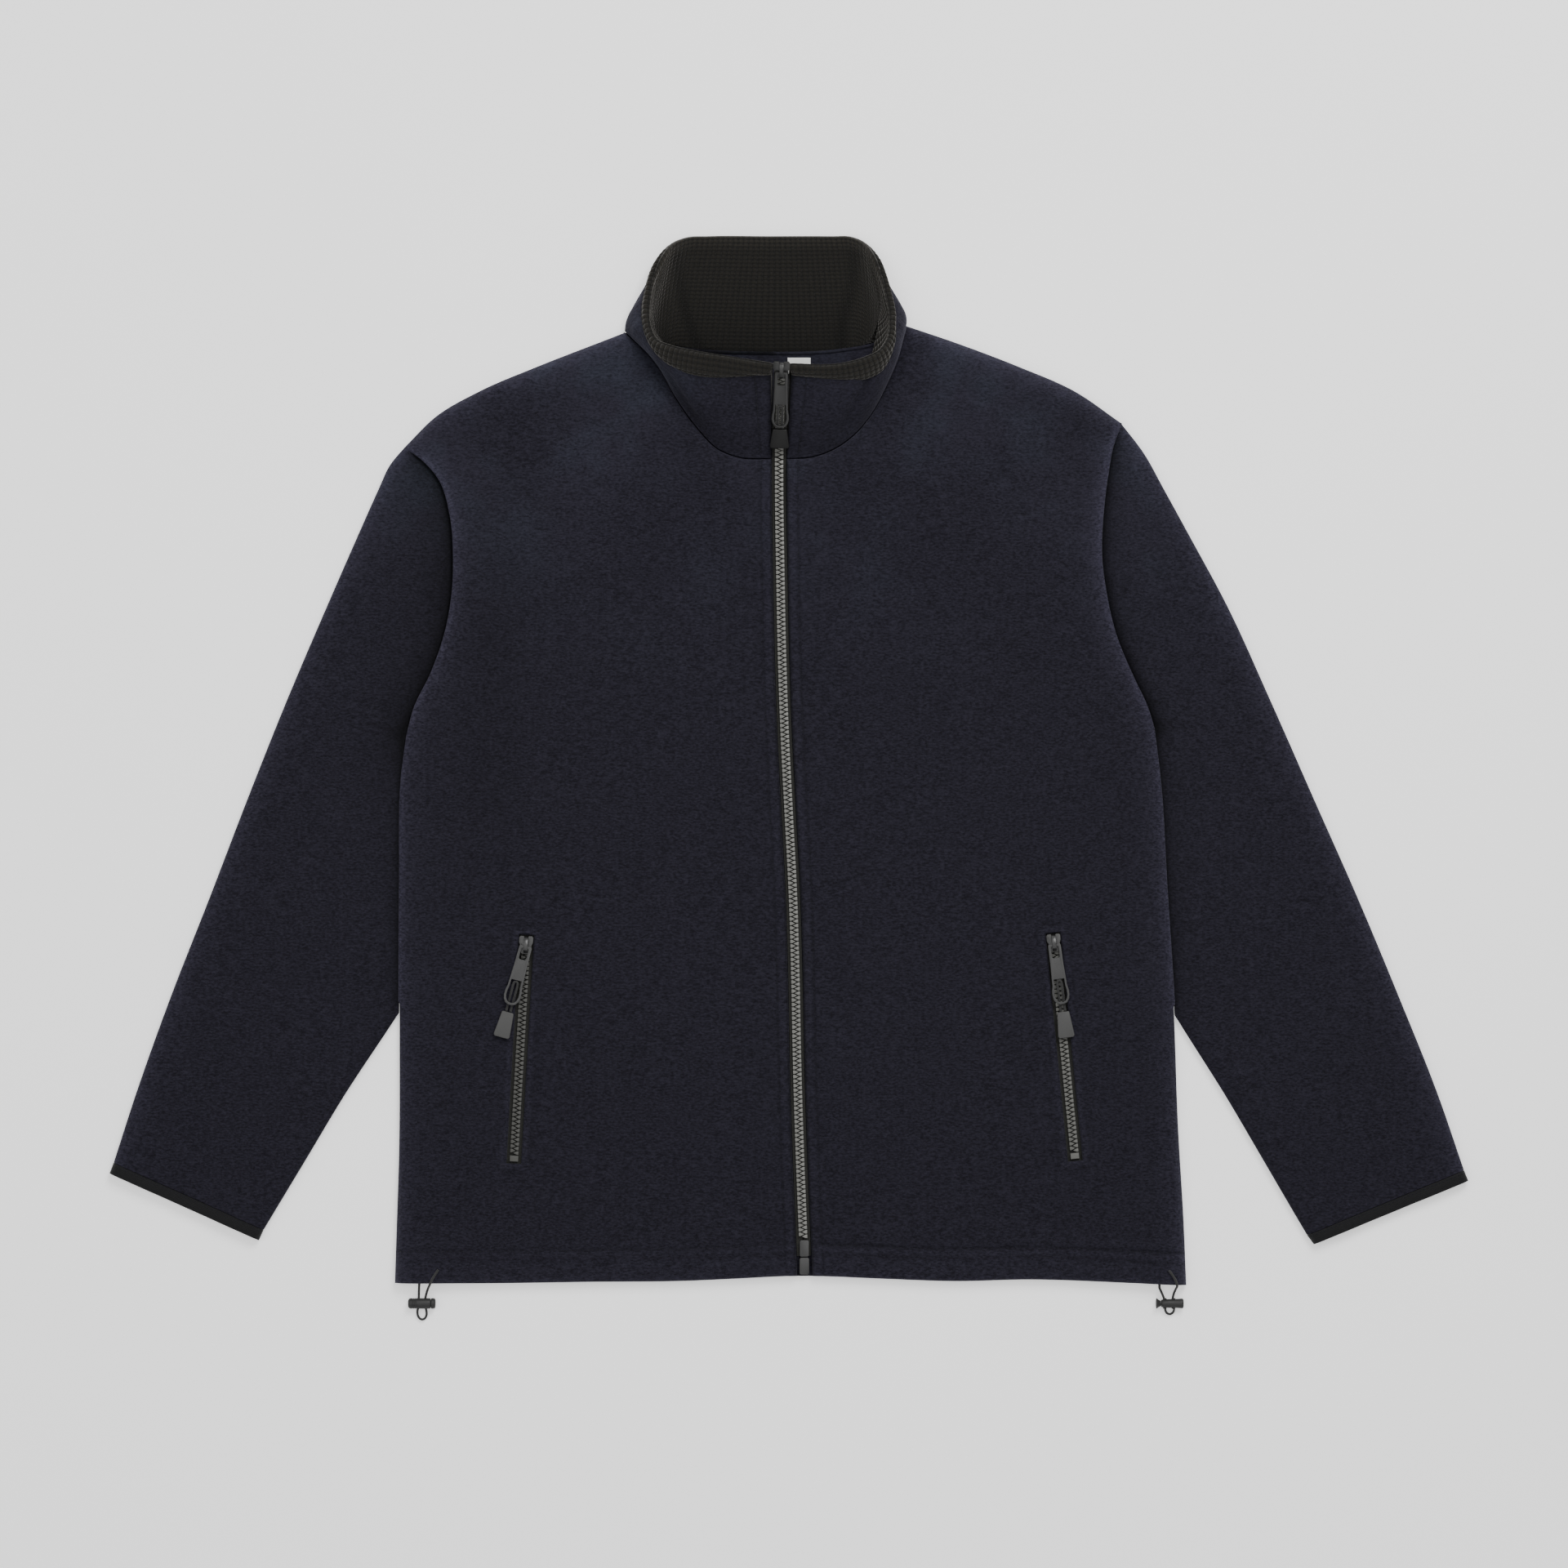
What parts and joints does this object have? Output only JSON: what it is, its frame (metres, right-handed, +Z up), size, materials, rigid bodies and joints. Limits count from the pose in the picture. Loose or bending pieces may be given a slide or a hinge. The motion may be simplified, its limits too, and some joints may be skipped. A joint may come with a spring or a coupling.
{
  "type": "fleece zip jacket",
  "caption": "Navy fleece jacket laid flat on its back, zipped up, with a stand collar, two zipped hand pockets, bound cuffs and drawcord hem.",
  "frame": {"origin": "a point on the underside of the back panel, on the surface that the jacket lies on, near the middle of the body", "axes": "+X towards the sleeve on the wearer's left, +Y from the hem to the collar, +Z up out of the front"},
  "size_m": [1.0138, 0.8088, 0.0503],
  "materials": {
    "navy_fleece": "brushed knit, matt",
    "black_grid_fleece": "small grid knit, matt",
    "black_binding": "smooth stretch knit",
    "white_label": "plain woven label",
    "zip_tape": "woven tape",
    "zip_teeth": "moulded, satin",
    "gunmetal": "painted die-cast metal, satin",
    "black_cord": "braided cord",
    "black_plastic": "moulded, satin"
  },
  "bodies": {
    "jacket": {"back_panel": "navy_fleece", "front_right": "navy_fleece", "front_left": "navy_fleece", "sleeve_right": "navy_fleece", "sleeve_left": "navy_fleece", "cuff_binding_right": "black_binding", "cuff_binding_left": "black_binding", "collar_shell": "navy_fleece", "collar_lining": "black_grid_fleece", "neck_label": "white_label", "zip_tape_right": "zip_tape", "zip_tape_left": "zip_tape", "zip_teeth": "zip_teeth", "zip_pin": "gunmetal", "zip_box": "gunmetal", "main_slider": "gunmetal", "pocket_tape_right": "zip_tape", "pocket_teeth_right": "zip_teeth", "pocket_stop_right": "zip_teeth", "pocket_slider_right": "gunmetal", "pocket_tape_left": "zip_tape", "pocket_teeth_left": "zip_teeth", "pocket_stop_left": "zip_teeth", "pocket_slider_left": "gunmetal", "drawcord_right": "black_cord", "cordlock_barrel_right": "black_plastic", "cordlock_button_right": "black_plastic", "drawcord_left": "black_cord", "cordlock_barrel_left": "black_plastic", "cordlock_button_left": "black_plastic"},
    "main_pull": {"main_pull_tab": "gunmetal", "main_pull_cord": "black_cord", "main_pull_end": "black_plastic"},
    "pocket_pull_right": {"pocket_pull_right_tab": "gunmetal", "pocket_pull_right_cord": "black_cord", "pocket_pull_right_end": "black_plastic"},
    "pocket_pull_left": {"pocket_pull_left_tab": "gunmetal", "pocket_pull_left_cord": "black_cord", "pocket_pull_left_end": "black_plastic"}
  },
  "joints": [
    {"name": "main_pull_swing", "type": "hinge", "parent": "jacket", "child": "main_pull", "pos_m": [-0.00563, 0.28437, 0.04603], "axis": [-0.9997, 0.0201, 0.0114], "range_deg": [0, 150]},
    {"name": "pocket_pull_right_swing", "type": "hinge", "parent": "jacket", "child": "pocket_pull_right", "pos_m": [-0.19611, -0.14049, 0.01093], "axis": [-0.9649, 0.2626, 0], "range_deg": [0, 160]},
    {"name": "pocket_pull_left_swing", "type": "hinge", "parent": "jacket", "child": "pocket_pull_left", "pos_m": [0.19768, -0.13896, 0.011], "axis": [-0.9911, -0.133, 0], "range_deg": [0, 160]}
  ]
}
